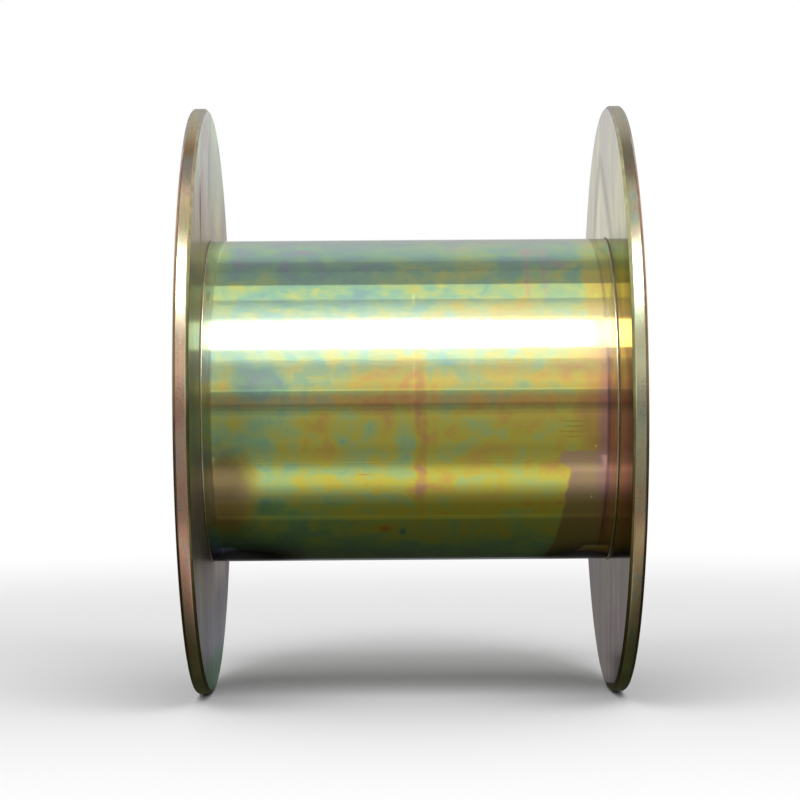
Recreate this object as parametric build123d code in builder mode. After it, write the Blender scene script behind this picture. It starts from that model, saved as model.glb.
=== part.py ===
"""Steel take-up reel for wire: two turned flanges, a polished barrel and an arbor tube.

Millimetres, +Z up. The origin is the middle of the reel on its axis. X runs along the axis,
towards the right flange. The reel lies on its two rims.
"""

import os

from build123d import *

# Flanges
flange_diameter = 400.0
flange_thickness = 10.0
winding_width = 270.0  # from one flange's inner face to the other's
rim_inner_chamfer = 2.0
rim_outer_chamfer = 1.5

# Turned relief in the outer face, between a rim land and a hub land
rim_land_width = 20.0
hub_land_diameter = 190.0
relief_depth = 1.5

# Barrel, let into a ring groove in each flange
barrel_diameter = 220.0
barrel_wall = 8.0
barrel_edge_chamfer = 0.5
groove_depth = 4.0
groove_clearance = 0.05

# Root ring: a small cone that each flange keeps round the barrel, and the height of its tip
root_leg = 1.2
root_tip_height = 0.3

# Arbor tube, welded into both flanges and bored at its ends
bore_diameter = 56.0
arbor_wall = 12.0
arbor_clearance = 0.05
bore_land_length = 42.0
bore_relief_depth = 2.0
bore_lead_in = 3.0
weld_leg = 4.0
weld_recess = 0.4

# Drive pin holes, countersunk in the outer face
drive_hole_count = 4
drive_hole_diameter = 18.0
drive_circle_diameter = 140.0
drive_start_angle = 45.0
drive_hole_chamfer = 1.0
chamfer_cone_angle = 90.0

# Wire start hole through the flange, at the back and just clear of the barrel
start_hole_diameter = 10.0
start_hole_gap = 4.0
start_hole_chamfer = 1.0

# Places that follow from the sizes
inner_face = winding_width / 2
outer_face = inner_face + flange_thickness
relief_floor = outer_face - relief_depth
rim_radius = flange_diameter / 2
rim_land_radius = rim_radius - rim_outer_chamfer - rim_land_width
hub_land_radius = hub_land_diameter / 2
barrel_radius = barrel_diameter / 2
barrel_inner_radius = barrel_radius - barrel_wall
groove_floor = inner_face + groove_depth
groove_outer_radius = barrel_radius + groove_clearance
groove_inner_radius = barrel_inner_radius - groove_clearance
root_tip_radius = groove_outer_radius + root_tip_height
bore_radius = bore_diameter / 2
bore_relief_radius = bore_radius + bore_relief_depth
bore_land_start = outer_face - bore_lead_in
bore_land_end = bore_land_start - bore_land_length
arbor_radius = bore_radius + arbor_wall
arbor_seat_radius = arbor_radius + arbor_clearance
weld_face = outer_face - weld_recess
weld_radius = arbor_radius + weld_leg - weld_recess
drive_hole_radius = drive_hole_diameter / 2
start_hole_radius = start_hole_diameter / 2
start_hole_place = barrel_radius + start_hole_gap + start_hole_radius

# Right flange: the half section, with X along the reel and Y as the radius, turned round the axis
with BuildPart() as right_flange:
    with BuildSketch(Plane.XY):
        with BuildLine():
            Polyline(
                (inner_face, rim_radius - rim_inner_chamfer),
                (inner_face + rim_inner_chamfer, rim_radius),
                (outer_face - rim_outer_chamfer, rim_radius),
                (outer_face, rim_radius - rim_outer_chamfer),
                (outer_face, rim_land_radius),
                (relief_floor, rim_land_radius - relief_depth),
                (relief_floor, hub_land_radius + relief_depth),
                (outer_face, hub_land_radius),
                (outer_face, arbor_seat_radius + weld_leg),
                (outer_face - weld_leg, arbor_seat_radius),
                (inner_face, arbor_seat_radius),
                (inner_face, groove_inner_radius),
                (groove_floor, groove_inner_radius),
                (groove_floor, groove_outer_radius),
                (inner_face - root_leg, groove_outer_radius),
                (inner_face - root_leg, root_tip_radius),
                (inner_face, root_tip_radius + root_leg),
                close=True,
            )
        make_face()
    revolve(axis=Axis.X)
    with Locations(Plane.YZ.offset(outer_face)):
        with PolarLocations(drive_circle_diameter / 2, drive_hole_count, start_angle=drive_start_angle):
            CounterSinkHole(
                radius=drive_hole_radius,
                counter_sink_radius=drive_hole_radius + drive_hole_chamfer,
                depth=flange_thickness,
                counter_sink_angle=chamfer_cone_angle,
            )
    # The start hole is chamfered at both mouths, so that the wire isn't cut
    with Locations(Plane.YZ.offset(relief_floor), -Plane.YZ.offset(inner_face)):
        with Locations((start_hole_place, 0)):
            CounterSinkHole(
                radius=start_hole_radius,
                counter_sink_radius=start_hole_radius + start_hole_chamfer,
                depth=flange_thickness,
                counter_sink_angle=chamfer_cone_angle,
            )
right_flange.part.label = "right_flange"

# Left flange: the same turning, the other way round
with BuildPart() as left_flange:
    mirror(right_flange.part, about=Plane.YZ)
left_flange.part.label = "left_flange"

# Barrel: a tube turned and polished outside, with both ends in the grooves
with BuildPart() as barrel_tube:
    with BuildSketch(Plane.YZ.offset(-groove_floor)):
        Circle(barrel_radius)
        Circle(barrel_inner_radius, mode=Mode.SUBTRACT)
    extrude(amount=2 * groove_floor)
    chamfer(barrel_tube.edges().filter_by(GeomType.CIRCLE), length=barrel_edge_chamfer)
barrel_tube.part.label = "barrel_tube"

# Arbor tube: flared at both ends by its weld, with a bored land and a lead-in at each end
with BuildPart() as arbor_tube:
    with BuildSketch(Plane.XY):
        with BuildLine():
            Polyline(
                (0, arbor_radius),
                (outer_face - weld_leg, arbor_radius),
                (weld_face, weld_radius),
                (weld_face, arbor_radius),
                (outer_face, arbor_radius),
                (outer_face, bore_radius + bore_lead_in),
                (bore_land_start, bore_radius),
                (bore_land_end, bore_radius),
                (bore_land_end - bore_relief_depth, bore_relief_radius),
                (0, bore_relief_radius),
                close=True,
            )
        make_face()
        mirror(about=Plane.YZ)
    revolve(axis=Axis.X)
arbor_tube.part.label = "arbor_tube"

os.makedirs("parts", exist_ok=True)
for piece in (right_flange, left_flange, barrel_tube, arbor_tube):
    export_step(piece.part, f"parts/{piece.part.label}.step")
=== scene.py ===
"""Looks of the steel take-up reel: turned and polished meshes in iridescent yellow zinc.

Metres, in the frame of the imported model: X runs along the reel's axis, Z is up, and the camera
looks along +Y. Angles round the axis are 0 at the camera's side and grow upwards.
"""

from math import asin, cos, degrees, pi, radians, sin, tan

import bmesh
import bpy
from mathutils import Matrix, Vector


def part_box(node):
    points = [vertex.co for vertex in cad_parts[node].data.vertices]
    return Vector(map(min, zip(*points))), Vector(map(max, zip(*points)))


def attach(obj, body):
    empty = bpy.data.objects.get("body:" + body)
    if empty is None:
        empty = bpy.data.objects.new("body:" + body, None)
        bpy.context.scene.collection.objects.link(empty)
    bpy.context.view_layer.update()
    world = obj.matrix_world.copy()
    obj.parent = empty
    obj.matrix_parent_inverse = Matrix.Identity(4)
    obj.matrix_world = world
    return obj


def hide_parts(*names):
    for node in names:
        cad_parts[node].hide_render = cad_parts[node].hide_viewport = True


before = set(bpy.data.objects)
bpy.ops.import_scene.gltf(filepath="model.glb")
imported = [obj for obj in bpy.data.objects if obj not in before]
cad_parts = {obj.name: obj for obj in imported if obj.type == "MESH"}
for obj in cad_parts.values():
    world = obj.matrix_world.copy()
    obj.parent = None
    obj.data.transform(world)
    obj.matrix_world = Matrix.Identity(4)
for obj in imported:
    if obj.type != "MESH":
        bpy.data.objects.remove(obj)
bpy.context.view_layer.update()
scene = bpy.context.scene
MM = 0.001

# Places read from the frame
flange_low, flange_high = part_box("right_flange")
barrel_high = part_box("barrel_tube")[1]
arbor_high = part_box("arbor_tube")[1]
RIM_RADIUS = min(-flange_low.y, flange_high.y, -flange_low.z, flange_high.z)
OUTER_FACE = flange_high.x
BARREL_RADIUS = min(barrel_high.y, barrel_high.z)
BARREL_END = barrel_high.x
WELD_RADIUS = min(arbor_high.y, arbor_high.z)
FLOOR_HEIGHT = flange_low.z

# Sizes of the turned pieces
FLANGE_THICKNESS = 10 * MM
RIM_INNER_CHAMFER = 2 * MM
RIM_OUTER_CHAMFER = 1.5 * MM
RIM_LAND_WIDTH = 20 * MM
HUB_LAND_RADIUS = 95 * MM
RELIEF_DEPTH = 1.5 * MM
BARREL_WALL = 8 * MM
BARREL_EDGE = 0.5 * MM
SEAT_CLEARANCE = 0.05 * MM
ROOT_LEG = 0.6 * MM
ROOT_LAND = 0.5 * MM
ROOT_TIP = 0.25 * MM
EDGE_ROUND = 1.2 * MM
FINE_ROUND = 0.15 * MM
BORE_RADIUS = 28 * MM
ARBOR_WALL = 12 * MM
BORE_LEAD_IN = 3 * MM
BORE_LAND_LENGTH = 42 * MM
BORE_RELIEF = 2 * MM
WELD_LEG = 4 * MM
WELD_RECESS = 0.4 * MM
DRIVE_HOLE_RADIUS = 9 * MM
DRIVE_CIRCLE_RADIUS = 70 * MM
DRIVE_HOLE_COUNT = 4
DRIVE_START_ANGLE = radians(45)
START_HOLE_RADIUS = 5 * MM
START_HOLE_PLACE = 119 * MM
HOLE_CHAMFER = 1 * MM
CUTTER_CORE = 0.1 * MM  # a cutter is a ring, so a needle of this radius is left in its hole
CUTTER_OVERRUN = 1 * MM

INNER_FACE = OUTER_FACE - FLANGE_THICKNESS
RELIEF_FLOOR = OUTER_FACE - RELIEF_DEPTH
ARBOR_RADIUS = BORE_RADIUS + ARBOR_WALL
FLANGE_SEGMENTS = 960
BARREL_SEGMENTS = 720
ARBOR_SEGMENTS = 360
HOLE_SEGMENTS = 96
ROUND_STEPS = 4
ROOT_STEPS = 6
SHARP_ANGLE = radians(35)


# Turned meshes

def rounded(corners):
    """Points and surface numbers of a closed outline. A corner is x, radius, rounding, surface."""
    points = []
    surfaces = []
    for i, (x, r, rounding, surface) in enumerate(corners):
        corner = Vector((x, r))
        if not rounding:
            points.append(corner)
            surfaces.append(surface)
            continue
        before = (Vector(corners[i - 1][:2]) - corner).normalized()
        after = (Vector(corners[(i + 1) % len(corners)][:2]) - corner).normalized()
        half_angle = before.angle(after) / 2
        reach = rounding / tan(half_angle)
        centre = corner + (before + after).normalized() * (rounding / sin(half_angle))
        start = corner + before * reach - centre
        turn = start.angle_signed(corner + after * reach - centre)
        for step in range(ROUND_STEPS + 1):
            angle = -turn * step / ROUND_STEPS
            points.append(centre + Matrix.Rotation(angle, 2) @ start)
            surfaces.append(surface)
    return points, surfaces


def turned(name, corners, materials, segments, side=1, centre=(0, 0)):
    """A mesh turned about a line along X through centre (Y, Z), from a closed outline."""
    points, surfaces = rounded(corners)
    mesh = bpy.data.meshes.new(name)
    count = len(points)
    verts = []
    for i in range(segments):
        angle = 2 * pi * i / segments
        y, z = -cos(angle), sin(angle)
        verts += [(side * x, centre[0] + r * y, centre[1] + r * z) for x, r in points]
    faces = []
    for i in range(segments):
        ring, following = i * count, (i + 1) % segments * count
        for j in range(count):
            k = (j + 1) % count
            faces.append((ring + j, ring + k, following + k, following + j))
    mesh.from_pydata(verts, [], faces)
    for material in materials:
        mesh.materials.append(material)
    mesh.polygons.foreach_set("material_index", surfaces * segments)
    outward(mesh)
    piece = bpy.data.objects.new(name, mesh)
    scene.collection.objects.link(piece)
    return piece


def outward(mesh):
    """Turns every face outwards."""
    work = bmesh.new()
    work.from_mesh(mesh)
    bmesh.ops.recalc_face_normals(work, faces=work.faces)
    work.to_mesh(mesh)
    work.free()


def finished(piece, node):
    """Smooth shading with sharp corners, and the piece's place in the frame."""
    mesh = piece.data
    mesh.polygons.foreach_set("use_smooth", [True] * len(mesh.polygons))
    mesh.set_sharp_from_angle(angle=SHARP_ANGLE)
    weighted = piece.modifiers.new("weighted", "WEIGHTED_NORMAL")
    weighted.keep_sharp = True
    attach(piece, "root")
    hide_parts(node)
    return piece


def cut(piece, cutters):
    """Cuts the cutters out of a piece and removes them."""
    for cutter in cutters:
        modifier = piece.modifiers.new(cutter.name, "BOOLEAN")
        modifier.object = cutter
        modifier.operation = "DIFFERENCE"
        modifier.solver = "EXACT"
        modifier.material_mode = "TRANSFER"
    graph = bpy.context.evaluated_depsgraph_get()
    mesh = bpy.data.meshes.new_from_object(piece.evaluated_get(graph))
    piece.modifiers.clear()
    piece.data = mesh
    for cutter in cutters:
        bpy.data.objects.remove(cutter)


# Materials

def grey(value):
    return (value, value, value)


class Graph:
    """A short way to write a node tree."""

    def __init__(self, block):
        block.use_nodes = True
        self.tree = block.node_tree
        self.tree.nodes.clear()

    def add(self, kind, inputs=(), **settings):
        made = self.tree.nodes.new(kind)
        for name, value in settings.items():
            setattr(made, name, value)
        for place, value in dict(inputs).items():
            socket = made.inputs[place]
            if isinstance(value, bpy.types.NodeSocket):
                self.tree.links.new(value, socket)
            else:
                socket.default_value = value
        return made

    def math(self, operation, *values):
        inputs = dict(enumerate(values))
        return self.add("ShaderNodeMath", inputs, operation=operation).outputs[0]

    def plus(self, first, *terms):
        for term in terms:
            first = self.math("ADD", first, term)
        return first

    def times(self, first, *terms):
        for term in terms:
            first = self.math("MULTIPLY", first, term)
        return first

    def step(self, value, low, high, to_low=0.0, to_high=1.0):
        """A smooth change from to_low at low to to_high at high."""
        inputs = {0: value, 1: low, 2: high, 3: to_low, 4: to_high}
        made = self.add("ShaderNodeMapRange", inputs, interpolation_type="SMOOTHSTEP")
        return made.outputs[0]

    def band(self, value, low, high, soft):
        """1 between low and high, 0 outside, with soft edges."""
        rise = self.step(value, low - soft, low + soft)
        fall = self.step(value, high - soft, high + soft, 1.0, 0.0)
        return self.math("MULTIPLY", rise, fall)

    def ramp(self, value, stops):
        made = self.add("ShaderNodeValToRGB", {0: value})
        ramp = made.color_ramp
        while len(ramp.elements) < len(stops):
            ramp.elements.new(1.0)
        for element, (place, colour) in zip(ramp.elements, stops):
            element.position = place
            element.color = (*colour, 1.0)
        return made.outputs[0]

    def mix(self, share, a, b):
        made = self.add("ShaderNodeMix", {0: share, 6: a, 7: b}, data_type="RGBA")
        return made.outputs[2]

    def shaded(self, colour, factor):
        made = self.add("ShaderNodeVectorMath", {0: colour, "Scale": factor}, operation="SCALE")
        return made.outputs[0]

    def vector(self, operation, a, b):
        return self.add("ShaderNodeVectorMath", {0: a, 1: b}, operation=operation).outputs[0]

    def length(self, vector):
        return self.add("ShaderNodeVectorMath", {0: vector}, operation="LENGTH").outputs["Value"]

    def joined(self, *values):
        """A vector of up to three values."""
        return self.add("ShaderNodeCombineXYZ", dict(enumerate(values))).outputs[0]

    def split(self, vector):
        """The three values of a vector."""
        return self.add("ShaderNodeSeparateXYZ", {0: vector}).outputs

    def object_place(self):
        return self.add("ShaderNodeTexCoord").outputs["Object"]

    def round_axis(self, y, z):
        """The angle round the reel's axis, 0 straight in front and 90 above."""
        return self.times(self.math("ARCTAN2", z, self.times(y, -1.0)), 180 / pi)

    def changed(self, value, parts, changes):
        """The value plus each part times its change."""
        return self.plus(value, *[self.times(part, change) for part, change in zip(parts, changes)])

    def toward(self, value, share, goal):
        """The value moved towards the goal by a share of the way."""
        return self.plus(value, self.times(share, self.plus(goal, self.times(value, -1.0))))

    def noise(self, vector, detail=2.0, distortion=0.0):
        """Noise about zero, with features about 1 wide in the vector's own measure."""
        inputs = {"Vector": vector, "Scale": 1.0, "Detail": detail, "Distortion": distortion}
        return self.plus(self.add("ShaderNodeTexNoise", inputs).outputs[0], -0.5)


# The edges of wavy marks: noise, and how far it moves them along the axis and, in degrees, round it
MARK_WAVES = (6, 6, 6)
MARK_WAVE_LENGTH = 4 * MM
MARK_WAVE_ANGLE = 3.0


class Turned(Graph):
    """The graph of a turned metal, with its shader and the places round the axis.

    Without an edge tint the metal keeps its own colour at a flat angle.
    """

    def __init__(self, name, roughness, edge_tint=None, anisotropy=0.0):
        self.material = bpy.data.materials.new(name)
        super().__init__(self.material)
        self.shader = self.add("ShaderNodeBsdfPrincipled", {"Metallic": 1.0, "Roughness": roughness})
        self.tinted = edge_tint is None
        if edge_tint:
            self.shader.inputs["Specular Tint"].default_value = (*edge_tint, 1.0)
        self.shader.inputs["Anisotropic"].default_value = anisotropy
        self.add("ShaderNodeOutputMaterial", {0: self.shader.outputs[0]})
        self.place = self.object_place()
        self.x, self.y, self.z = self.split(self.place)
        self.angle = self.round_axis(self.y, self.z)
        square = self.plus(self.times(self.y, self.y), self.times(self.z, self.z))
        self.radius = self.math("SQRT", square)

    def patches(self, x, y, z, detail=2.0, distortion=0.0):
        """Noise with features x, y and z millimetres long."""
        vector = self.vector("DIVIDE", self.place, (x * MM, y * MM, z * MM))
        return self.noise(vector, detail, distortion)

    def cloud(self, strength, *noise):
        """Patches of noise, times their strength."""
        return self.times(self.patches(*noise), strength)

    def height_share(self, radius):
        """The height, from 0 at the bottom of a radius to 1 at its top."""
        return self.math("MULTIPLY_ADD", self.z, 0.5 / radius, 0.5)

    def surface(self, wavy=True):
        """The place along the axis and the angle round it, wandering a little where wavy."""
        along, turned_by = self.x, self.angle
        if wavy:
            wander = self.patches(*MARK_WAVES)
            along = self.plus(along, self.times(wander, MARK_WAVE_LENGTH))
            turned_by = self.plus(turned_by, self.times(wander, MARK_WAVE_ANGLE))
        return self.joined(along, turned_by)

    def oval(self, surface, x, angle, half_width, half_height, soft):
        """1 inside an oval with a soft edge, 0 outside it."""
        off = self.vector("SUBTRACT", surface, (x * MM, angle, 0))
        off = self.vector("DIVIDE", off, (half_width * MM, half_height, 1))
        return self.step(self.length(off), 1 - soft, 1 + soft, 1.0, 0.0)

    def marks(self, marks, wavy=True):
        """The film change and the shade of soft oval marks."""
        surface = self.surface(wavy)
        film, shade = 0.0, 1.0
        for *oval, change, darker in marks:
            mark = self.oval(surface, *oval)
            if change:
                film = self.math("MULTIPLY_ADD", mark, change, film)
            if darker != 1.0:
                shade = self.times(shade, self.math("MULTIPLY_ADD", mark, darker - 1.0, 1.0))
        return film, shade

    def strength(self, marks):
        """The strength of soft oval marks, added up."""
        surface = self.surface()
        total = 0.0
        for *oval, strength in marks:
            total = self.math("MULTIPLY_ADD", self.oval(surface, *oval), strength, total)
        return total

    def finish(self, colour, bump=None, height=0.0):
        self.tree.links.new(colour, self.shader.inputs["Base Color"])
        if self.tinted:
            self.tree.links.new(colour, self.shader.inputs["Specular Tint"])
        if bump is not None:
            inputs = {"Strength": 1.0, "Distance": height, "Height": bump}
            normal = self.add("ShaderNodeBump", inputs).outputs[0]
            self.tree.links.new(normal, self.shader.inputs["Normal"])
        return self.material


# Colours of the zinc's film as it gets thicker
FILM = (
    (0.00, (0.42, 0.35, 0.43)),
    (0.08, (0.32, 0.40, 0.46)),
    (0.16, (0.26, 0.48, 0.39)),
    (0.27, (0.31, 0.57, 0.33)),
    (0.38, (0.48, 0.63, 0.22)),
    (0.52, (0.69, 0.61, 0.08)),
    (0.64, (0.73, 0.47, 0.10)),
    (0.76, (0.64, 0.34, 0.18)),
    (0.88, (0.54, 0.25, 0.30)),
    (1.00, (0.38, 0.26, 0.42)),
)

# Thickness of the barrel's film by height, from the bottom at -1 to the top at 1
BARREL_FILM = (
    (-1.0, 0.17), (-0.9, 0.20), (-0.84, 0.30), (-0.75, 0.40), (-0.5, 0.50), (-0.19, 0.52),
    (0.0, 0.50), (0.22, 0.40), (0.4, 0.36), (0.6, 0.30), (1.0, 0.25),
)

# Marks on the barrel: place along the axis, angle, half width, half height, softness, change of
# the film and shade. Millimetres along the axis and degrees round it.
BARREL_STAINS_AND_SHADE = (
    (7.1, -15, 4.0, 32, 0.5, 0.17, 0.94),  # pink ring near the middle
    (-18, 6, 21, 12, 0.6, 0.13, 0.93),  # brown beside it, green on its other side
    (26, 8, 13, 11, 0.8, -0.09, 1.0),
    (121, -7, 13, 12, 0.5, 0.0, 0.88),  # brown above the stain at the right end
    (-94, -11, 14, 7, 0.9, -0.12, 0.92),  # green and lilac clouds
    (-97, 4, 15, 9, 0.8, -0.17, 0.9),
    (-118, -6, 16, 20, 0.8, -0.05, 0.76),
    (-94.5, -40, 8, 3.5, 0.8, -0.18, 0.88),
    (-43.4, -14, 2.0, 1.2, 0.9, -0.15, 1.0),
    (-60.7, -8, 9, 3.0, 0.9, 0.12, 0.94),
    (-82.6, 52, 3.2, 5, 0.9, -0.16, 0.96),
    (-81.6, 35, 8, 2.2, 0.9, -0.16, 0.96),
    (-68.5, 63.6, 5, 1.2, 0.9, -0.2, 1.0),
    (-112, 42, 6.4, 5, 0.8, 0.12, 1.0),
    (-65.6, 42, 8, 5, 0.8, 0.12, 1.0),
    (-75, -67, 62, 9, 0.7, -0.04, 0.9),  # teal at the bottom
    # painted shade: the bottom left is darkened
    (-112, -68, 34, 16, 0.7, -0.05, 0.55),
    # painted shade: the two corners at the bottom are darkened, and the edge tint with them
    (-112, -80, 32, 16, 0.5, 0.0, 0.25),  # dark corners at the bottom
    (120, -80, 32, 16, 0.5, 0.0, 0.25),
    (-16.4, -50.6, 3.6, 2.2, 0.9, 0.26, 0.9),  # small spots
    (-5.4, -52.3, 1.8, 1.6, 0.9, -0.2, 0.75),
    (-122, -27, 19, 9, 0.5, 0.0, 0.5),  # painted shade: the dim upper part of the round patch at the bottom left, a mirrored shadow
    (-122, -49, 15, 9, 0.8, 0.0, 0.6),  # and its dim lower part
)
# Where the film goes towards one thickness: place and sizes as above, the thickness, and how far
BARREL_SPOTS = (
    (-121, -35, 20, 15, 0.4, 0.66, 0.85),  # the round patch at the bottom left: a painted mirrored shadow, brown
    # painted reflection: olive at the top of the left end, where the barrel mirrors the flange
    (-129, 60, 9, 28, 0.9, 0.47, 0.7),
    (121, -7, 13, 12, 0.5, 0.65, 0.8),  # brown above the stain at the right end
    (124, 78, 11, 17, 0.6, 0.56, 0.6),  # golden top of the right end
    (127.5, -22, 6, 36, 0.6, 0.87, 0.75),  # purple ring at the right end
)
# Painted shade: dull grey-brown in the round patch at the bottom left. Place and sizes as above, then its
# strength
PAINTED_PATCH_DULLING = ((-121, -35, 20, 17, 0.5, 0.5),)
STAIN_DUST = (0.5, 0.15)  # in the stain at the right end, before and beyond the purple ring
DUST_END = (122 * MM, 126 * MM)
DUST_AND_SHADE = (0.46, 0.37, 0.27)
# Pink marks near the top right: place and sizes as above, then their strength
BARREL_PINKS = (
    (78.1, 53, 1.6, 14, 0.9, 0.5),
    (89.4, 52, 1.4, 13, 0.9, 0.4),
    (79.0, 63.6, 6, 3.0, 0.9, 0.5),
    (89.8, 64, 2.5, 4.0, 0.9, 0.4),
    (99.7, 54.1, 5.5, 2.0, 0.9, 0.6),
    (33.1, 67, 7, 2.5, 0.9, 0.35),
    (60, 77, 50, 5, 0.9, 0.25),
)
PINK = (0.58, 0.38, 0.42)
BARREL_LINES = (
    (2.9, 36.4, 0.9, 2.6, 0.5, 0.06, 1.14),  # light lines beside the pink ring
    (2.9, 8, 0.5, 9, 0.5, 0.08, 1.14),
    (-29, -26, 5.2, 0.3, 0.8, 0.25, 0.94),
    (119.9, -16.1, 0.5, 0.35, 0.5, 0.0, 2.2),  # bright specks
    (118, -35.5, 0.5, 0.4, 0.5, 0.0, 2.2),
    (87.1, 12, 0.3, 3, 0.9, 0.0, 1.3),  # scratches
    # painted reflections: two long light lines round the barrel, where lines of the mirrored floor show
    (-52, -21.5, 76, 0.2, 0.6, 0.0, 1.16),
    (4, -45.3, 100, 0.22, 0.4, 0.0, 1.16),
    # short dark scratches
    (105, -7.5, 6.5, 0.2, 0.9, 0.0, 0.72),
    (105.5, -9.2, 6.0, 0.2, 0.9, 0.0, 0.72),
    (104, -11.0, 6.5, 0.2, 0.9, 0.0, 0.76),
    (105, -12.8, 5.5, 0.2, 0.9, 0.0, 0.76),
)

# Noise in the barrel's film: strength, then size in millimetres along X, Y and Z, detail, distortion
BARREL_PATCHES = (0.42, 22, 16, 16, 1.5, 0.4)
BARREL_STREAKS = (0.2, 12, 50, 50, 1.0)
BARREL_MOTTLE = (0.13, 7, 11, 11, 3.0, 0.5)
BARREL_DRIFT = (0.3, 90, 70, 70, 0.0)
# Blotches with a clearer edge: the noise, where it turns from one to the other, and the change
BLOTCHES = (13, 12, 12, 3.0, 0.3)
BLOTCH_EDGE = (-0.05, 0.05)
BLOTCH_CHANGE = (-0.033, 0.033)
# The film thickens from left to right
LENGTHWISE = (-130 * MM, 100 * MM)
LENGTHWISE_CHANGE = (-0.06, 0.07)

# The stain at the lower right. Its left edge is a slanting line with a notch, by the angle.
STAIN_WANDER = (4 * MM, 9, 8, 8, 3.0)
STAIN_CORNER = 110.6 * MM  # where the slanting line meets angle 0
STAIN_SLANT = 0.258 * MM  # for each degree round the barrel
STAIN_NOTCH = (-25, -21)
STAIN_NOTCH_DEPTH = 8 * MM
STAIN_SOFT = 1.2 * MM
STAIN_TOP_ANGLE = -17.8
STAIN_TOP_WANDER = 250
STAIN_TOP_SOFT = 0.7
STAIN_BOTTOM_ANGLE = -110
STAIN_BOTTOM_SOFT = 15
STAIN_SHARE = 0.85
STAIN_FILM_STEP = (-37, -31)
STAIN_FILM = (0.62, 0.74)
STAIN_KEEPS = 0.8  # how much of the mottle and the marks shows in it
STAIN_STEP = (-27, -24)  # angles between its dark lower part and its lighter upper part
STAIN_SHADES = (0.7, 1.1)

# The golden end above it
GOLDEN_END = 114.8 * MM
GOLDEN_SOFT = 2.5 * MM
GOLDEN_WANDER = 2.0
GOLDEN_ANGLES = (-20, 55)
GOLDEN_ANGLE_SOFT = 10
GOLDEN_SHARE = 0.65
GOLDEN_FILM = 0.64

BARREL_ROUGHNESS = 0.042
BARREL_EDGE_TINT = 0.85
COAT_ROUGHNESS = 0.34
COAT_IOR = 1.8
COAT_HEIGHTS = (-25 * MM, 15 * MM)  # the clear coat is thinner below, where the colours are fuller
COAT_WEIGHTS = (0.2, 1.0)
BARREL_TURNING = (0.3, 500, 500, 1.0)
BARREL_TURNING_DEPTH = 0.002 * MM
# Painted light: the barrel is lightened beside the flanges, where it mirrors the darker flanges, over a
# strip that widens towards the top and the bottom
LEFT_END_PAINTED_LIGHT = (1.35, 1.5, 1.85)
RIGHT_END_PAINTED_LIGHT = (1.5, 1.45, 1.4)
END_STRIP = (7 * MM, 4.5 * MM)
END_STRIP_SPREAD = 6 * MM
END_STRIP_POWER = 4.0
MIDDLE = (-10 * MM, 10 * MM)


def clean_film(g):
    """Thickness of the barrel's film without its marks: drained by height, and cloudy."""
    drained = g.ramp(g.height_share(BARREL_RADIUS), [((h + 1) / 2, grey(film)) for h, film in BARREL_FILM])
    clouds = [g.cloud(*noise) for noise in (BARREL_PATCHES, BARREL_STREAKS, BARREL_DRIFT)]
    blotches = g.step(g.patches(*BLOTCHES), *BLOTCH_EDGE, *BLOTCH_CHANGE)
    lengthwise = g.step(g.x, *LENGTHWISE, *LENGTHWISE_CHANGE)
    return g.plus(drained, *clouds, blotches, lengthwise)


def golden_share(g, wander):
    """1 at the golden right end, 0 elsewhere."""
    edge = g.plus(g.x, g.times(wander, GOLDEN_WANDER))
    beside = g.step(edge, GOLDEN_END - GOLDEN_SOFT, GOLDEN_END + GOLDEN_SOFT)
    return g.times(beside, g.band(g.angle, *GOLDEN_ANGLES, GOLDEN_ANGLE_SOFT))


def stained_share(g, wander):
    """1 in the stain at the lower right, 0 elsewhere."""
    notch = g.step(g.angle, *STAIN_NOTCH, 0.0, STAIN_NOTCH_DEPTH)
    edge = g.plus(g.x, wander, g.times(g.angle, -STAIN_SLANT), notch)
    beside = g.step(edge, STAIN_CORNER - STAIN_SOFT, STAIN_CORNER + STAIN_SOFT)
    angle = g.plus(g.angle, g.times(wander, STAIN_TOP_WANDER))
    below = g.step(angle, STAIN_TOP_ANGLE - STAIN_TOP_SOFT, STAIN_TOP_ANGLE + STAIN_TOP_SOFT, 1.0, 0.0)
    above = g.step(g.angle, STAIN_BOTTOM_ANGLE, STAIN_BOTTOM_ANGLE + STAIN_BOTTOM_SOFT)
    return g.times(beside, below, above)


def marked_film(g, wander, stained, stains, lines):
    """Thickness of the barrel's film with its stains, spots and scratches."""
    mottle = g.cloud(*BARREL_MOTTLE)
    film = g.plus(clean_film(g), mottle, stains, lines)
    film = g.toward(film, g.times(golden_share(g, wander), GOLDEN_SHARE), GOLDEN_FILM)
    stain_film = g.step(g.angle, *STAIN_FILM_STEP, *STAIN_FILM)
    stain_film = g.plus(stain_film, g.times(mottle, STAIN_KEEPS), g.times(stains, STAIN_KEEPS))
    film = g.toward(film, g.times(stained, STAIN_SHARE), stain_film)
    surface = g.surface()
    for *oval, thickness, share in BARREL_SPOTS:
        film = g.toward(film, g.times(g.oval(surface, *oval), share), thickness)
    return film


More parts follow.
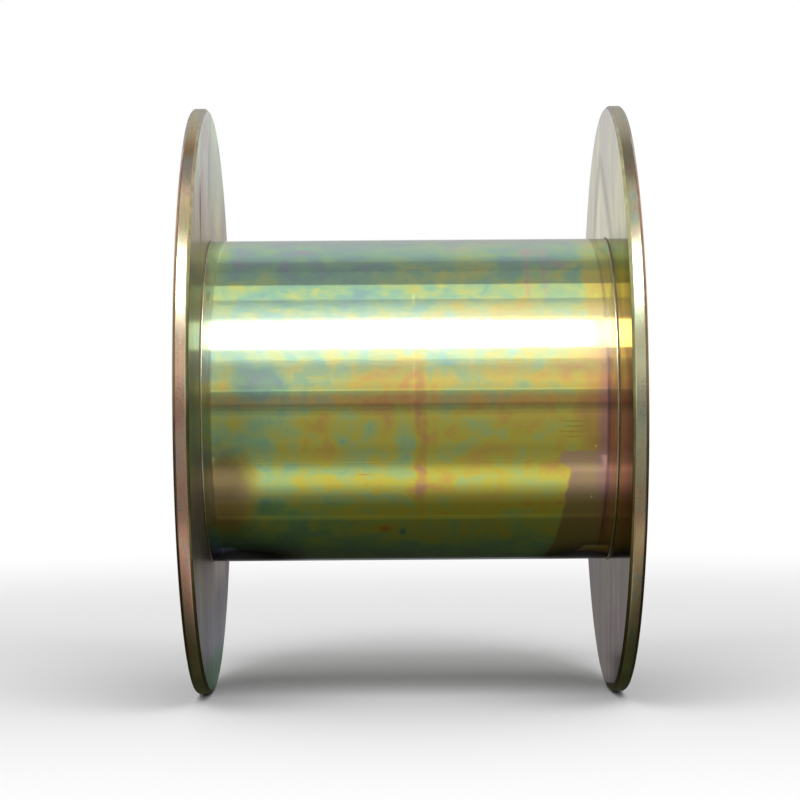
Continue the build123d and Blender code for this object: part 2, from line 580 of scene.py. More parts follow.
def barrel_colour(g, film, shade, stained):
    """The film's colour, with pink marks, dust, the painted shade of the round patch and painted light at
    the ends.
    """
    colour = g.mix(g.strength(BARREL_PINKS), g.ramp(film, FILM), (*PINK, 1.0))
    # dust in the stain at the right end, and painted shade in the round patch at the bottom left
    dust_and_shade = g.times(stained, g.step(g.x, *DUST_END, *STAIN_DUST))
    dust_and_shade = g.plus(dust_and_shade, g.strength(PAINTED_PATCH_DULLING))
    colour = g.mix(dust_and_shade, colour, (*DUST_AND_SHADE, 1.0))
    # painted light: the ends beside the flanges are lightened, since the barrel there mirrors the darker
    # flanges
    spread = g.math("POWER", g.times(g.z, 1 / BARREL_RADIUS), END_STRIP_POWER)
    reach = g.plus(g.math("ABSOLUTE", g.x), g.times(spread, END_STRIP_SPREAD))
    start, full = END_STRIP
    ends = g.step(reach, INNER_FACE - start, INNER_FACE - full)
    pale = g.mix(g.step(g.x, *MIDDLE), (*LEFT_END_PAINTED_LIGHT, 1.0), (*RIGHT_END_PAINTED_LIGHT, 1.0))
    return g.vector("MULTIPLY", g.shaded(colour, shade), g.mix(ends, (1, 1, 1, 1), pale))


def barrel_metal():
    """Polished steel under a film of zinc and a clear coat."""
    g = Turned("barrel_zinc", BARREL_ROUGHNESS, grey(BARREL_EDGE_TINT))
    g.shader.inputs["Coat Roughness"].default_value = COAT_ROUGHNESS
    g.shader.inputs["Coat IOR"].default_value = COAT_IOR
    coat = g.step(g.z, *COAT_HEIGHTS, *COAT_WEIGHTS)
    g.tree.links.new(coat, g.shader.inputs["Coat Weight"])
    stains, shade = g.marks(BARREL_STAINS_AND_SHADE)
    lines, lightness = g.marks(BARREL_LINES, wavy=False)
    wander = g.cloud(*STAIN_WANDER)
    stained = stained_share(g, wander)
    film = marked_film(g, wander, stained, stains, lines)
    stain_shade = g.step(g.angle, *STAIN_STEP, *STAIN_SHADES)
    shade = g.times(shade, lightness, g.toward(1.0, stained, stain_shade))
    # the edge tint darkens with the shade, painted shade included, so that dark places stay dark at a flat
    # angle
    tint = g.shaded(grey(BARREL_EDGE_TINT), g.math("MINIMUM", shade, 1.0))
    g.tree.links.new(tint, g.shader.inputs["Specular Tint"])
    turning = g.patches(*BARREL_TURNING)
    return g.finish(barrel_colour(g, film, shade, stained), turning, BARREL_TURNING_DEPTH)


# The pale wedge on the right flange's inner side: its tip, and how its two legs spread downwards
WEDGE_TIP_Y = 29 * MM
WEDGE_TIP_Z = 172 * MM
WEDGE_SLOPES = (0.96, -1.33)
WEDGE_START = (-5 * MM, 15 * MM)
WEDGE_LEG = 13 * MM  # half its width, and its softness
WEDGE_LEG_CHANGE = -0.24
WEDGE_INSIDE_SOFT = 16 * MM
WEDGE_INSIDE_CHANGE = 0.1

# The inner side of a flange: noise, and what each does to the film and the shade
FACE_RING = 5 * MM
FACE_RING_ANGLE = 28
FACE_RING_DISTORTION = 0.8
FACE_STREAKS = (1000, 35, 160, 2.0, 1.2)
FACE_CLOUDS = (40, 50, 50, 3.0, 0.6)
FACE_HEIGHT_CHANGE = 0.04
FACE_FILM = 0.14
FACE_FILM_CHANGES = (0.6, 0.8)  # by the streaks and the clouds
FACE_FILM_SHARE = 0.2
FACE_SHADE_CHANGES = (0.4, 0.12, 0.1)  # by the streaks, the clouds and the rings
FACE_MARK_WANDER = (14 * MM, 30, 30, 20)
FACE_MARK_SOFT_ACROSS = 3 * MM
FACE_MARK_SOFT_UPRIGHT = 12 * MM
FACE_TURNING_DEPTH = 0.04 * MM


def face_wedge(g):
    """Shade of the wedge: darker along its legs and a little lighter between them."""
    down = g.plus(g.times(g.z, -1.0), WEDGE_TIP_Z)
    below = g.step(down, *WEDGE_START)
    shade = 1.0
    inside = below
    for slope in WEDGE_SLOPES:
        off = g.plus(g.y, -WEDGE_TIP_Y, g.times(down, -slope))
        leg = g.times(g.band(off, -WEDGE_LEG, WEDGE_LEG, WEDGE_LEG), below)
        shade = g.times(shade, g.math("MULTIPLY_ADD", leg, WEDGE_LEG_CHANGE, 1.0))
        inward = -1.0 if slope > 0 else 1.0
        inside = g.times(inside, g.step(g.times(off, inward), 0.0, WEDGE_INSIDE_SOFT))
    return g.times(shade, g.math("MULTIPLY_ADD", inside, WEDGE_INSIDE_CHANGE, 1.0))


def face_marks(g, shade, marks):
    """The shade with upright brush-like marks."""
    aside = g.plus(g.y, g.cloud(*FACE_MARK_WANDER))
    for y, z, half_width, half_height, change in marks:
        across = g.band(aside, (y - half_width) * MM, (y + half_width) * MM, FACE_MARK_SOFT_ACROSS)
        upright = g.band(g.z, (z - half_height) * MM, (z + half_height) * MM, FACE_MARK_SOFT_UPRIGHT)
        shade = g.times(shade, g.math("MULTIPLY_ADD", g.times(across, upright), change, 1.0))
    return shade


def inner_face_metal(name, roughness, stops, marks, wedge=False):
    """The side of a flange towards the wire, with upright wavy streaks and faint turned rings."""
    g = Turned(name, roughness)
    rings = g.joined(g.times(g.radius, 1 / FACE_RING), g.times(g.angle, 1 / FACE_RING_ANGLE))
    turning = g.noise(rings, distortion=FACE_RING_DISTORTION)
    streaks = g.patches(*FACE_STREAKS)
    clouds = g.patches(*FACE_CLOUDS)
    colour = g.ramp(g.plus(g.height_share(RIM_RADIUS), g.times(clouds, FACE_HEIGHT_CHANGE)), stops)
    film = g.changed(FACE_FILM, (streaks, clouds), FACE_FILM_CHANGES)
    colour = g.mix(FACE_FILM_SHARE, colour, g.ramp(film, FILM))
    shade = g.changed(1.0, (streaks, clouds, turning), FACE_SHADE_CHANGES)
    shade = face_marks(g, shade, marks)
    if wedge:
        shade = g.times(shade, face_wedge(g))
    return g.finish(g.shaded(colour, shade), turning, FACE_TURNING_DEPTH)


RIM_ROUGHNESS = 0.25
RIM_EDGE_TINT = 0.8
RIM_ANISOTROPY = 0.4
RIM_PATCHES = (4, 12, 12)
RIM_HEIGHT_CHANGE = 0.02
RIM_FILM = 0.5
RIM_FILM_CHANGE = 1.2
RIM_FILM_SHARE = 0.2
RIM_LINES = (0.4, 50, 50, 1.0)
RIM_LINE_CHANGE = 0.25
RIM_LINE_DEPTH = 0.01 * MM
RIM_PITS = (1.2, 1.2, 1.2, 1.0)
RIM_PIT_EDGE = (0.14, 0.20)
RIM_PIT_SHADE = 0.7


def rim_metal(name, stops):
    """The rim of a flange: fine lines round it, and pits."""
    g = Turned(name, RIM_ROUGHNESS, grey(RIM_EDGE_TINT), RIM_ANISOTROPY)
    patches = g.patches(*RIM_PATCHES)
    colour = g.ramp(g.plus(g.height_share(RIM_RADIUS), g.times(patches, RIM_HEIGHT_CHANGE)), stops)
    film = g.plus(RIM_FILM, g.times(patches, RIM_FILM_CHANGE))
    colour = g.mix(RIM_FILM_SHARE, colour, g.ramp(film, FILM))
    lines = g.patches(*RIM_LINES)
    pitted = g.step(g.patches(*RIM_PITS), *RIM_PIT_EDGE, 1.0, RIM_PIT_SHADE)
    shade = g.times(g.math("MULTIPLY_ADD", lines, RIM_LINE_CHANGE, 1.0), pitted)
    return g.finish(g.shaded(colour, shade), lines, RIM_LINE_DEPTH)


EDGE_ROUGHNESS = 0.22
EDGE_TINT = 0.7
EDGE_PATCHES = (9, 9, 9)
EDGE_HEIGHT_CHANGE = 0.03
EDGE_SHADE_CHANGE = 0.8


def edge_metal(name, stops):
    """The chamfers of a flange: a thicker, darker film, paler towards the top with a painted highlight."""
    g = Turned(name, EDGE_ROUGHNESS, grey(EDGE_TINT))
    patches = g.patches(*EDGE_PATCHES)
    colour = g.ramp(g.plus(g.height_share(RIM_RADIUS), g.times(patches, EDGE_HEIGHT_CHANGE)), stops)
    return g.finish(g.shaded(colour, g.plus(1.0, g.times(patches, EDGE_SHADE_CHANGE))))


TURNED_EDGE_TINT = 0.9
TURNED_ANISOTROPY = 0.75
ACROSS_GROOVES = 0.25  # a quarter turn from the grooves' own direction
TURNED_PATCHES = (45, 45, 45, 2.5, 0.5)
TURNED_DRIFT = (120, 120, 120, 0.0)
GROOVE_WIDTH = 0.9 * MM
GROOVE_ANGLE = 60
GROOVE_DEPTH = 0.02 * MM
TURNED_FILM = 0.48
TURNED_FILM_CHANGES = (0.5, 0.4, 0.12)  # by the patches, the drift and the grooves
TURNED_SHADE = 0.92
TURNED_SHADE_CHANGE = 0.3
PALE_ZINC = (0.60, 0.54, 0.43)
PALE_SHARE = 0.5


def turned_metal(name, roughness):
    """The outer side of a flange and the arbor tube: turned steel with fine grooves round the axis."""
    g = Turned(name, roughness, grey(TURNED_EDGE_TINT), TURNED_ANISOTROPY)
    tangent = g.add("ShaderNodeTangent", direction_type="RADIAL", axis="X")
    g.tree.links.new(tangent.outputs[0], g.shader.inputs["Tangent"])
    g.shader.inputs["Anisotropic Rotation"].default_value = ACROSS_GROOVES
    patches = g.patches(*TURNED_PATCHES)
    drift = g.patches(*TURNED_DRIFT)
    rings = g.times(g.plus(g.radius, g.x), 1 / GROOVE_WIDTH)
    grooves = g.noise(g.joined(rings, g.times(g.angle, 1 / GROOVE_ANGLE)))
    film = g.changed(TURNED_FILM, (patches, drift, grooves), TURNED_FILM_CHANGES)
    colour = g.mix(PALE_SHARE, g.ramp(film, FILM), (*PALE_ZINC, 1.0))
    colour = g.shaded(colour, g.plus(TURNED_SHADE, g.times(grooves, TURNED_SHADE_CHANGE)))
    return g.finish(colour, grooves, GROOVE_DEPTH)


RING_PATCH_EDGE = (-0.2, 0.2)
# painted shade: the root fillet is dark, as the crevice between barrel and flange
ROOT_SHADE_COLOURS = ((0.34, 0.29, 0.18), (0.22, 0.18, 0.11))
LAND_HIGHLIGHT_COLOURS = ((0.56, 0.50, 0.36), (0.44, 0.37, 0.25))  # painted highlight: pale where the land catches the light


def ring_metal(name, colours, roughness, edge_tint, patch_size):
    """A surface of the root ring: two colours in patches."""
    g = Turned(name, roughness, grey(edge_tint))
    patches = g.patches(patch_size, patch_size, patch_size)
    first, second = colours
    return g.finish(g.mix(g.step(patches, *RING_PATCH_EDGE), (*first, 1.0), (*second, 1.0)))


# Colours by height, from 0 at the floor to 1 at the top. On the inner sides they hold painted light:
# lighter and darker bands where the studio's light shows in their mirror, and painted shade below the
# middle, where they mirror the floor's shadow.
LEFT_FACE = (
    (0.05, (0.50, 0.62, 0.56)), (0.08, (0.66, 0.61, 0.70)), (0.14, (0.57, 0.51, 0.56)),
    (0.25, (0.54, 0.45, 0.40)), (0.33, (0.42, 0.37, 0.33)), (0.50, (0.40, 0.37, 0.31)),
    (0.61, (0.54, 0.37, 0.31)), (0.69, (0.50, 0.39, 0.33)), (0.72, (0.70, 0.52, 0.40)),
    (0.77, (0.56, 0.46, 0.39)), (0.90, (0.66, 0.63, 0.60)), (1.00, (0.76, 0.76, 0.70)),
)
RIGHT_FACE = (
    (0.00, (0.56, 0.42, 0.44)), (0.25, (0.58, 0.48, 0.46)), (0.34, (0.54, 0.32, 0.17)),
    (0.44, (0.43, 0.25, 0.13)), (0.535, (0.32, 0.24, 0.09)), (0.58, (0.66, 0.52, 0.30)),
    (0.61, (0.54, 0.40, 0.48)), (0.64, (0.50, 0.36, 0.22)), (0.70, (0.60, 0.60, 0.24)),
    (0.73, (0.42, 0.39, 0.27)), (0.78, (0.66, 0.57, 0.47)), (1.00, (0.64, 0.56, 0.55)),
)
# Upright marks on the inner sides: y, z, half width, half height in millimetres, and change of shade
LEFT_FACE_MARKS = (
    (-95, 122, 6, 18, -0.4),
    (-24, 158, 2, 16, -0.35),
    (-52, 140, 22, 30, 0.1),
    (60, -118, 50, 8, 0.3),
)
RIGHT_FACE_MARKS = (
    (-88, -140, 7, 14, 0.15),
    (-30, -165, 6, 20, -0.15),
    (-60, -128, 9, 12, 0.2),
)
# On the rims the colours by height hold painted light too: near black towards the floor, painted shade
# with some grime, and paler at the very top, a painted highlight.
LEFT_RIM = (
    (0.00, (0.02, 0.02, 0.02)), (0.04, (0.12, 0.12, 0.13)), (0.12, (0.28, 0.18, 0.20)),
    (0.22, (0.50, 0.22, 0.22)), (0.50, (0.66, 0.42, 0.36)), (0.63, (0.62, 0.48, 0.41)),
    (0.68, (0.34, 0.32, 0.29)), (0.77, (0.36, 0.31, 0.24)), (0.82, (0.58, 0.43, 0.31)),
    (0.88, (0.48, 0.45, 0.46)), (0.90, (0.50, 0.29, 0.18)), (0.98, (0.52, 0.48, 0.38)),
)
RIGHT_RIM = (
    (0.00, (0.02, 0.02, 0.02)), (0.06, (0.09, 0.12, 0.09)), (0.12, (0.20, 0.17, 0.18)),
    (0.26, (0.27, 0.17, 0.13)), (0.34, (0.50, 0.34, 0.25)), (0.42, (0.50, 0.48, 0.36)),
    (0.50, (0.56, 0.62, 0.46)), (0.63, (0.42, 0.45, 0.34)), (0.69, (0.36, 0.36, 0.32)),
    (0.83, (0.35, 0.33, 0.28)), (0.87, (0.32, 0.26, 0.23)), (0.98, (0.48, 0.44, 0.36)),
)

LEFT_EDGE = (
    (0.00, (0.06, 0.07, 0.05)), (0.12, (0.12, 0.11, 0.05)), (0.28, (0.24, 0.20, 0.09)),
    (0.45, (0.09, 0.09, 0.03)), (0.60, (0.14, 0.16, 0.06)), (0.75, (0.26, 0.23, 0.11)),
    (0.90, (0.40, 0.33, 0.22)), (0.97, (0.66, 0.62, 0.52)),
)
RIGHT_EDGE = (
    (0.00, (0.06, 0.07, 0.05)), (0.12, (0.12, 0.08, 0.03)), (0.30, (0.20, 0.14, 0.05)),
    (0.50, (0.22, 0.22, 0.09)), (0.75, (0.30, 0.30, 0.14)), (0.90, (0.44, 0.42, 0.22)),
    (0.97, (0.66, 0.62, 0.54)),
)
OUTER_EDGE = (
    (0.00, (0.06, 0.06, 0.04)), (0.30, (0.16, 0.10, 0.07)), (0.60, (0.20, 0.15, 0.09)),
    (0.85, (0.30, 0.18, 0.15)), (0.97, (0.62, 0.57, 0.50)),
)

LEFT_FACE_ROUGHNESS = 0.32
RIGHT_FACE_ROUGHNESS = 0.12
FLANGE_ROUGHNESS = 0.24
ARBOR_ROUGHNESS = 0.28

BARREL = barrel_metal()
ROOT = ring_metal("flange_root", ROOT_SHADE_COLOURS, roughness=0.3, edge_tint=0.5, patch_size=6)
LAND = ring_metal("flange_root_land", LAND_HIGHLIGHT_COLOURS, roughness=0.32, edge_tint=0.9, patch_size=8)
TURNED = turned_metal("flange_turned", FLANGE_ROUGHNESS)
ARBOR = turned_metal("arbor_turned", ARBOR_ROUGHNESS)
LEFT = (
    inner_face_metal("left_face", LEFT_FACE_ROUGHNESS, LEFT_FACE, LEFT_FACE_MARKS),
    rim_metal("left_rim", LEFT_RIM),
    edge_metal("left_edge", LEFT_EDGE),
    TURNED,
    ROOT,
    LAND,
    edge_metal("left_outer_edge", OUTER_EDGE),
)
RIGHT = (
    inner_face_metal("right_face", RIGHT_FACE_ROUGHNESS, RIGHT_FACE, RIGHT_FACE_MARKS, wedge=True),
    rim_metal("right_rim", RIGHT_RIM),
    edge_metal("right_edge", RIGHT_EDGE),
    TURNED,
    ROOT,
    LAND,
    edge_metal("right_outer_edge", OUTER_EDGE),
)
(FACE_SURFACE, RIM_SURFACE, EDGE_SURFACE, TURNED_SURFACE, ROOT_SURFACE, LAND_SURFACE,
 OUTER_EDGE_SURFACE) = range(len(LEFT))


# Pieces

def flange_corners():
    """Half section of the right flange."""
    inner, outer, relief = INNER_FACE, OUTER_FACE, RELIEF_FLOOR
    seat = BARREL_RADIUS + SEAT_CLEARANCE
    tip = seat + ROOT_TIP
    groove = BARREL_END + SEAT_CLEARANCE
    inside = BARREL_RADIUS - BARREL_WALL - SEAT_CLEARANCE
    land = RIM_RADIUS - RIM_OUTER_CHAMFER - RIM_LAND_WIDTH
    hub = ARBOR_RADIUS + SEAT_CLEARANCE
    corners = [
        (inner - ROOT_LEG - ROOT_LAND, seat, 0, LAND_SURFACE),
        (inner - ROOT_LEG - ROOT_LAND, tip, FINE_ROUND, LAND_SURFACE),
    ]
    for step in range(ROOT_STEPS + 1):
        angle = radians(90) * step / ROOT_STEPS
        x = inner - ROOT_LEG * (1 - sin(angle))
        surface = ROOT_SURFACE if step < ROOT_STEPS else FACE_SURFACE
        corners.append((x, tip + ROOT_LEG * (1 - cos(angle)), 0, surface))
    corners += [
        (inner, RIM_RADIUS - RIM_INNER_CHAMFER, EDGE_ROUND, EDGE_SURFACE),
        (inner + RIM_INNER_CHAMFER, RIM_RADIUS, EDGE_ROUND, RIM_SURFACE),
        (outer - RIM_OUTER_CHAMFER, RIM_RADIUS, EDGE_ROUND, OUTER_EDGE_SURFACE),
        (outer, RIM_RADIUS - RIM_OUTER_CHAMFER, EDGE_ROUND, TURNED_SURFACE),
        (outer, land, FINE_ROUND, TURNED_SURFACE),
        (relief, land - RELIEF_DEPTH, FINE_ROUND, TURNED_SURFACE),
        (relief, HUB_LAND_RADIUS + RELIEF_DEPTH, FINE_ROUND, TURNED_SURFACE),
        (outer, HUB_LAND_RADIUS, FINE_ROUND, TURNED_SURFACE),
        (outer, hub + WELD_LEG, FINE_ROUND, TURNED_SURFACE),
        (outer - WELD_LEG, hub, 0, TURNED_SURFACE),
        (inner, hub, 0, TURNED_SURFACE),
        (inner, inside, 0, TURNED_SURFACE),
        (groove, inside, 0, TURNED_SURFACE),
        (groove, seat, 0, TURNED_SURFACE),
    ]
    return corners


def hole_cutter(name, side, y, z, radius, low, high):
    """A cutter for a hole with chamfered mouths at low and high."""
    below, above = low - CUTTER_OVERRUN, high + CUTTER_OVERRUN
    wide = radius + HOLE_CHAMFER + CUTTER_OVERRUN
    corners = [
        (below, CUTTER_CORE, 0, TURNED_SURFACE),
        (below, wide, 0, TURNED_SURFACE),
        (low + HOLE_CHAMFER, radius, FINE_ROUND, TURNED_SURFACE),
        (high - HOLE_CHAMFER, radius, FINE_ROUND, TURNED_SURFACE),
        (above, wide, 0, TURNED_SURFACE),
        (above, CUTTER_CORE, 0, TURNED_SURFACE),
    ]
    return turned(name, corners, LEFT, HOLE_SEGMENTS, side, (y, z))


def flange(name, node, side, materials):
    piece = turned(name, flange_corners(), materials, FLANGE_SEGMENTS, side)
    start = (START_HOLE_PLACE, 0, START_HOLE_RADIUS, INNER_FACE, RELIEF_FLOOR)
    cutters = [hole_cutter("start", side, *start)]
    for i in range(DRIVE_HOLE_COUNT):
        angle = DRIVE_START_ANGLE + radians(360) * i / DRIVE_HOLE_COUNT
        y, z = DRIVE_CIRCLE_RADIUS * cos(angle), DRIVE_CIRCLE_RADIUS * sin(angle)
        cutters.append(hole_cutter(f"drive_{i}", side, y, z, DRIVE_HOLE_RADIUS, INNER_FACE, OUTER_FACE))
    cut(piece, cutters)
    return finished(piece, node)


def both_ends(right_half):
    """A closed outline that is alike at both ends."""
    return right_half + [(-x, *rest) for x, *rest in reversed(right_half)]


def barrel():
    outer, inner = BARREL_RADIUS, BARREL_RADIUS - BARREL_WALL
    end, edge = BARREL_END, BARREL_EDGE
    corners = both_ends([
        (end - edge, outer, 0, 0),
        (end, outer - edge, 0, 0),
        (end, inner + edge, 0, 0),
        (end - edge, inner, 0, 0),
    ])
    piece = turned("barrel_polished", corners, [BARREL], BARREL_SEGMENTS)
    return finished(piece, "barrel_tube")


def arbor():
    weld_face = OUTER_FACE - WELD_RECESS
    start = OUTER_FACE - BORE_LEAD_IN
    stop = start - BORE_LAND_LENGTH
    corners = both_ends([
        (OUTER_FACE - WELD_LEG, ARBOR_RADIUS, 0, 0),
        (weld_face, WELD_RADIUS, FINE_ROUND, 0),
        (weld_face, ARBOR_RADIUS, 0, 0),
        (OUTER_FACE, ARBOR_RADIUS, FINE_ROUND, 0),
        (OUTER_FACE, BORE_RADIUS + BORE_LEAD_IN, FINE_ROUND, 0),
        (start, BORE_RADIUS, FINE_ROUND, 0),
        (stop, BORE_RADIUS, FINE_ROUND, 0),
        (stop - BORE_RELIEF, BORE_RADIUS + BORE_RELIEF, 0, 0),
    ])
    piece = turned("arbor_turned", corners, [ARBOR], ARBOR_SEGMENTS)
    return finished(piece, "arbor_tube")


flange("right_flange_turned", "right_flange", 1, RIGHT)
flange("left_flange_turned", "left_flange", -1, LEFT)
barrel()
arbor()


# Camera, as it stood in the photograph

IMAGE_WIDTH_PX = 800
FOCAL_LENGTH_PX = 2440.4
CAMERA_DISTANCE = 1.6801
CAMERA_OFFSET_X = 6.09 * MM
CAMERA_OFFSET_Z = 0.10 * MM
REEL_ROLL = radians(-0.42)
REEL_YAW = radians(0.13)

camera_data = bpy.data.cameras.new("camera")
camera_data.lens = FOCAL_LENGTH_PX / IMAGE_WIDTH_PX * camera_data.sensor_width
camera = bpy.data.objects.new("camera", camera_data)
scene.collection.objects.link(camera)
scene.camera = camera
turn = Matrix.Rotation(REEL_ROLL, 3, "Y") @ Matrix.Rotation(REEL_YAW, 3, "Z")
back = turn.transposed()
away = Vector((CAMERA_OFFSET_X, CAMERA_DISTANCE, CAMERA_OFFSET_Z))
level = Matrix.Rotation(radians(90), 3, "X")
camera.matrix_world = Matrix.Translation(back @ -away) @ (back @ level).to_4x4()


# Studio. The polished metal mirrors panels that stand round the reel, out of the picture.

def warm(value):
    """Light from a brown counter."""
    return (value, 0.73 * value, 0.77 * value)


def cream(value):
    return (value, 0.87 * value, 0.82 * value)


def gold(value):
    """Light from the floor under the reel, which the reel itself lights."""
    return (value, value, 0.55 * value)


# Light of the wall in front, by the angle round the reel's axis: a counter, the wall and a softbox
SOFTBOX_LIGHT = 30.0
SOFTBOX_END_LIGHT = 1.4  # towards the ends of the softbox
SOFTBOX_END = (0.28, 0.375)  # where it falls to that, from the middle
SOFTBOX_SECOND_LIGHT = 8.0  # in a mirror image of a mirror image
WALL_LIGHT = (
    (-3.9, warm(0.20)), (-2.6, warm(0.26)), (-1.4, warm(0.36)), (2.4, warm(0.37)), (4.6, grey(0.38)),
    (6.4, grey(0.46)), (6.7, grey(0.97)), (8.1, cream(0.80)), (13.5, cream(0.95)), (22.5, grey(0.62)),
    (27.8, grey(0.85)), (28.2, grey(1.22)), (35.5, grey(0.95)), (38.5, grey(SOFTBOX_LIGHT)),
    (53.5, grey(SOFTBOX_LIGHT)), (56.8, grey(2.0)), (59.4, grey(0.9)),
)
# Light of the ceiling, by the same angle
CEILING_LIGHT = (
    (59.4, grey(0.9)), (67.5, grey(0.86)), (74.0, grey(0.56)), (74.6, grey(1.0)), (87.7, grey(0.96)),
    (88.3, grey(0.36)), (100.8, grey(0.38)), (103.0, grey(0.30)), (112.8, grey(0.36)),
    (116.3, grey(0.55)), (123.3, grey(0.72)), (137.8, grey(0.74)), (164.0, grey(0.5)),
)
# Light of the end panels, by height
END_LIGHT = (
    (-0.2, grey(0.4)), (-0.06, grey(0.55)), (0.06, grey(0.95)), (0.18, grey(1.25)), (0.4, grey(0.8)),
    (0.7, grey(1.0)), (0.95, grey(1.9)), (1.5, grey(1.9)), (1.8, grey(1.1)), (3.0, grey(0.7)),
)
# Light of the floor behind, under and in front of the reel, by the distance in front of its axis
BACK_FLOOR_LIGHT = ((-3.0, grey(0.30)), (-0.30, grey(0.28)))
NEAR_FLOOR_LIGHT = (
    (-0.30, grey(0.28)), (-0.24, grey(0.2)), (-0.20, grey(0.06)), (-0.15, gold(0.04)),
    (0.0, gold(0.065)), (0.067, gold(0.088)), (0.078, gold(0.15)), (0.084, gold(0.122)),
    (0.111, gold(0.137)), (0.136, grey(0.24)), (0.16, grey(0.50)), (0.18, grey(0.77)),
    (0.20, grey(0.84)), (0.222, grey(0.75)), (0.26, grey(0.38)), (0.30, grey(0.32)),
)
FAR_FLOOR_LIGHT = (
    (0.30, grey(0.325)), (0.34, grey(0.295)), (0.43, grey(0.355)), (0.84, grey(0.40)), (1.03, grey(0.43)),
    (1.23, grey(0.36)), (1.57, grey(0.32)), (1.73, grey(0.245)), (3.0, grey(0.21)),
)
# Below the rims the lit floor in front seems to lie nearer: how far, where that starts towards the
# sides, and where it ends under the reel. Then the pale floor behind, which the flanges mirror.
RIM_LIGHT_SHIFT = 0.058
RIM_LIGHT_START = (0.1435, 0.1455)
RIM_LIGHT_END = (-0.12, -0.06)
BACK_LIGHT_SHIFT = 0.2
BACK_LIGHT_SLANT = 0.077
BACK_LIGHT_SIDE = (0.123, 0.130)
BACK_LIGHT_START = (0.0, 0.04)
PANEL_RADIUS = 3.0
PANEL_HALF_LENGTH = 1.8
PANEL_ENDS = (-PANEL_HALF_LENGTH, PANEL_HALF_LENGTH)
PANEL_STEPS = 48
PANEL_LIFT = 0.5 * MM  # of the floor's panels above the floor
FIRST_IMAGE = (1.4, 1.6)  # between a mirror image and a mirror image of a mirror image
WORLD_LIGHT = 0.56
LAMP_POWER = 49.0
LAMP_SIZE = (3.0, 1.3)
LAMP_ANGLE = 49.5
LAMP_DISTANCE = 2.5
FLOOR_ANGLE = degrees(asin(FLOOR_HEIGHT / PANEL_RADIUS))  # where the wall's panel meets the floor
FLOOR_WHITE = 0.90
FLOOR_FADE = (0.4, 1.6)  # where the floor goes over into the white background
FLOOR_REACH = 30.0


def pale_rays(g):
    """1 for the rays that show the white background."""
    seen = g.add("ShaderNodeLightPath").outputs
    pale = g.math("MAXIMUM", seen["Is Camera Ray"], seen["Is Glossy Ray"])
    return g.math("MAXIMUM", pale, seen["Is Transmission Ray"])


def studio_world():
    world = bpy.data.worlds.new("studio")
    scene.world = world
    g = Graph(world)
    colour = g.mix(pale_rays(g), (*grey(WORLD_LIGHT), 1), (1, 1, 1, 1))
    background = g.add("ShaderNodeBackground", {"Color": colour, "Strength": 1.0})
    g.add("ShaderNodeOutputWorld", {0: background.outputs[0]})


def softbox_limit(g, place):
    """The most light that a panel shows: less at the softbox's ends and in further mirror images."""
    depth = g.add("ShaderNodeLightPath").outputs["Glossy Depth"]
    again = g.step(depth, *FIRST_IMAGE, SOFTBOX_LIGHT, SOFTBOX_SECOND_LIGHT)
    aside = g.math("ABSOLUTE", g.split(place)["X"])
    ends = g.step(aside, *SOFTBOX_END, SOFTBOX_LIGHT, SOFTBOX_END_LIGHT)
    return g.joined(*grey(g.math("MINIMUM", again, ends)))


def panel_material(name, measure, stops):
    """Light that follows a measure of the place, and that only mirror images show."""
    material = bpy.data.materials.new(name)
    g = Graph(material)
    place = g.object_place()
    low, high = stops[0][0], stops[-1][0]
    share = g.math("MULTIPLY_ADD", measure(g, place), 1 / (high - low), -low / (high - low))
    light = g.ramp(share, [((at - low) / (high - low), colour) for at, colour in stops])
    light = g.vector("MINIMUM", light, softbox_limit(g, place))
    first = g.math("LESS_THAN", g.add("ShaderNodeLightPath").outputs["Diffuse Depth"], 0.5)
    shader = g.add("ShaderNodeEmission", {"Color": light, "Strength": first})
    g.add("ShaderNodeOutputMaterial", {0: shader.outputs[0]})
    return material


def panel(name, verts, faces, measure, stops):
    """A studio panel that only polished metal shows."""
    mesh = bpy.data.meshes.new(name)
    mesh.from_pydata(verts, [], faces)
    mesh.materials.append(panel_material(name, measure, stops))
    made = bpy.data.objects.new(name, mesh)
    scene.collection.objects.link(made)
    made.visible_camera = made.visible_diffuse = made.visible_shadow = False


def around(g, place):
    y, z = g.split(place)[1:]
    return g.round_axis(y, z)


def upwards(g, place):
    return g.split(place)["Z"]


def forwards(g, place):
    """The distance in front of the reel's axis, with the lit floor pulled nearer at the sides."""
    x, y = g.split(place)[:2]
    aside = g.math("ABSOLUTE", x)
    in_front = g.step(y, *RIM_LIGHT_END, 1.0, 0.0)
    rims = g.times(in_front, g.step(aside, *RIM_LIGHT_START, 0.0, -RIM_LIGHT_SHIFT))
    slanted = g.plus(aside, g.times(y, BACK_LIGHT_SLANT))
    outside = g.step(slanted, *BACK_LIGHT_SIDE, 0.0, -BACK_LIGHT_SHIFT)
    behind = g.step(y, *BACK_LIGHT_START)
    return g.plus(g.times(y, -1.0), rims, g.times(outside, behind))


def arc(low, high):
    """Points at the panels' radius, from one angle to another."""
    angles = [radians(low + (high - low) * i / PANEL_STEPS) for i in range(PANEL_STEPS + 1)]
    return [(-PANEL_RADIUS * cos(angle), PANEL_RADIUS * sin(angle)) for angle in angles]


def curved_panel(name, low, stops):
    """A panel round the reel, from an angle to its last stop."""
    line = arc(low, stops[-1][0])
    count = len(line)
    verts = [(x, y, z) for x in PANEL_ENDS for y, z in line]
    faces = [(i, i + 1, i + count + 1, i + count) for i in range(count - 1)]
    panel(name, verts, faces, around, stops)


def end_panel(name, x):
    outline = [(x, y, z) for y, z in arc(FLOOR_ANGLE, CEILING_LIGHT[-1][0])]
    outline.append((x, PANEL_RADIUS, FLOOR_HEIGHT))
    panel(name, outline, [tuple(range(len(outline)))], upwards, END_LIGHT)


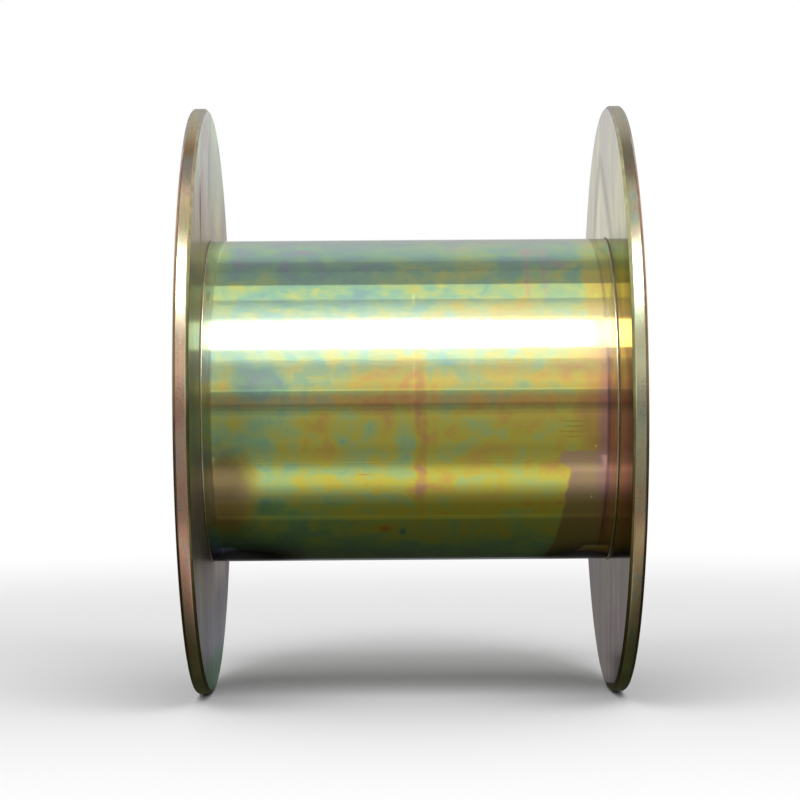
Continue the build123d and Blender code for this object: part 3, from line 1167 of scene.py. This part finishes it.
def floor_panel(name, stops):
    left, right = PANEL_ENDS
    back, front = -stops[0][0], -stops[-1][0]
    z = FLOOR_HEIGHT + PANEL_LIFT
    outline = [(left, front, z), (right, front, z), (right, back, z), (left, back, z)]
    panel(name, outline, [(0, 1, 2, 3)], forwards, stops)


def studio_panels():
    curved_panel("wall_panel", FLOOR_ANGLE, WALL_LIGHT)
    curved_panel("ceiling_panel", CEILING_LIGHT[0][0], CEILING_LIGHT)
    for name, x in zip(("left_end_panel", "right_end_panel"), PANEL_ENDS):
        end_panel(name, x)
    floor_panel("back_floor_panel", BACK_FLOOR_LIGHT)
    floor_panel("near_floor_panel", NEAR_FLOOR_LIGHT)
    floor_panel("far_floor_panel", FAR_FLOOR_LIGHT)


def lamp():
    data = bpy.data.lights.new("softbox", "AREA")
    data.shape = "RECTANGLE"
    data.size, data.size_y = LAMP_SIZE
    data.energy = LAMP_POWER
    made = bpy.data.objects.new("softbox", data)
    scene.collection.objects.link(made)
    angle = radians(LAMP_ANGLE)
    made.location = (0, -LAMP_DISTANCE * cos(angle), LAMP_DISTANCE * sin(angle))
    made.rotation_euler.x = radians(90) - angle
    made.visible_camera = made.visible_glossy = False


def floor():
    """A pale floor that goes over into the white background."""
    material = bpy.data.materials.new("floor")
    g = Graph(material)
    place = g.object_place()
    diffuse = g.add("ShaderNodeBsdfDiffuse", {"Color": (*grey(FLOOR_WHITE), 1)})
    white = g.add("ShaderNodeEmission", {"Color": (1, 1, 1, 1)})
    far = g.times(g.step(g.length(place), *FLOOR_FADE), pale_rays(g))
    mixed = g.add("ShaderNodeMixShader", {0: far, 1: diffuse.outputs[0], 2: white.outputs[0]})
    g.add("ShaderNodeOutputMaterial", {0: mixed.outputs[0]})
    mesh = bpy.data.meshes.new("floor")
    reach = FLOOR_REACH
    corners = [(-reach, -reach, 0), (reach, -reach, 0), (reach, reach, 0), (-reach, reach, 0)]
    mesh.from_pydata(corners, [], [(0, 1, 2, 3)])
    mesh.materials.append(material)
    plane = bpy.data.objects.new("floor", mesh)
    plane.location.z = FLOOR_HEIGHT
    scene.collection.objects.link(plane)


studio_world()
studio_panels()
lamp()
floor()
scene.view_settings.view_transform = "Standard"
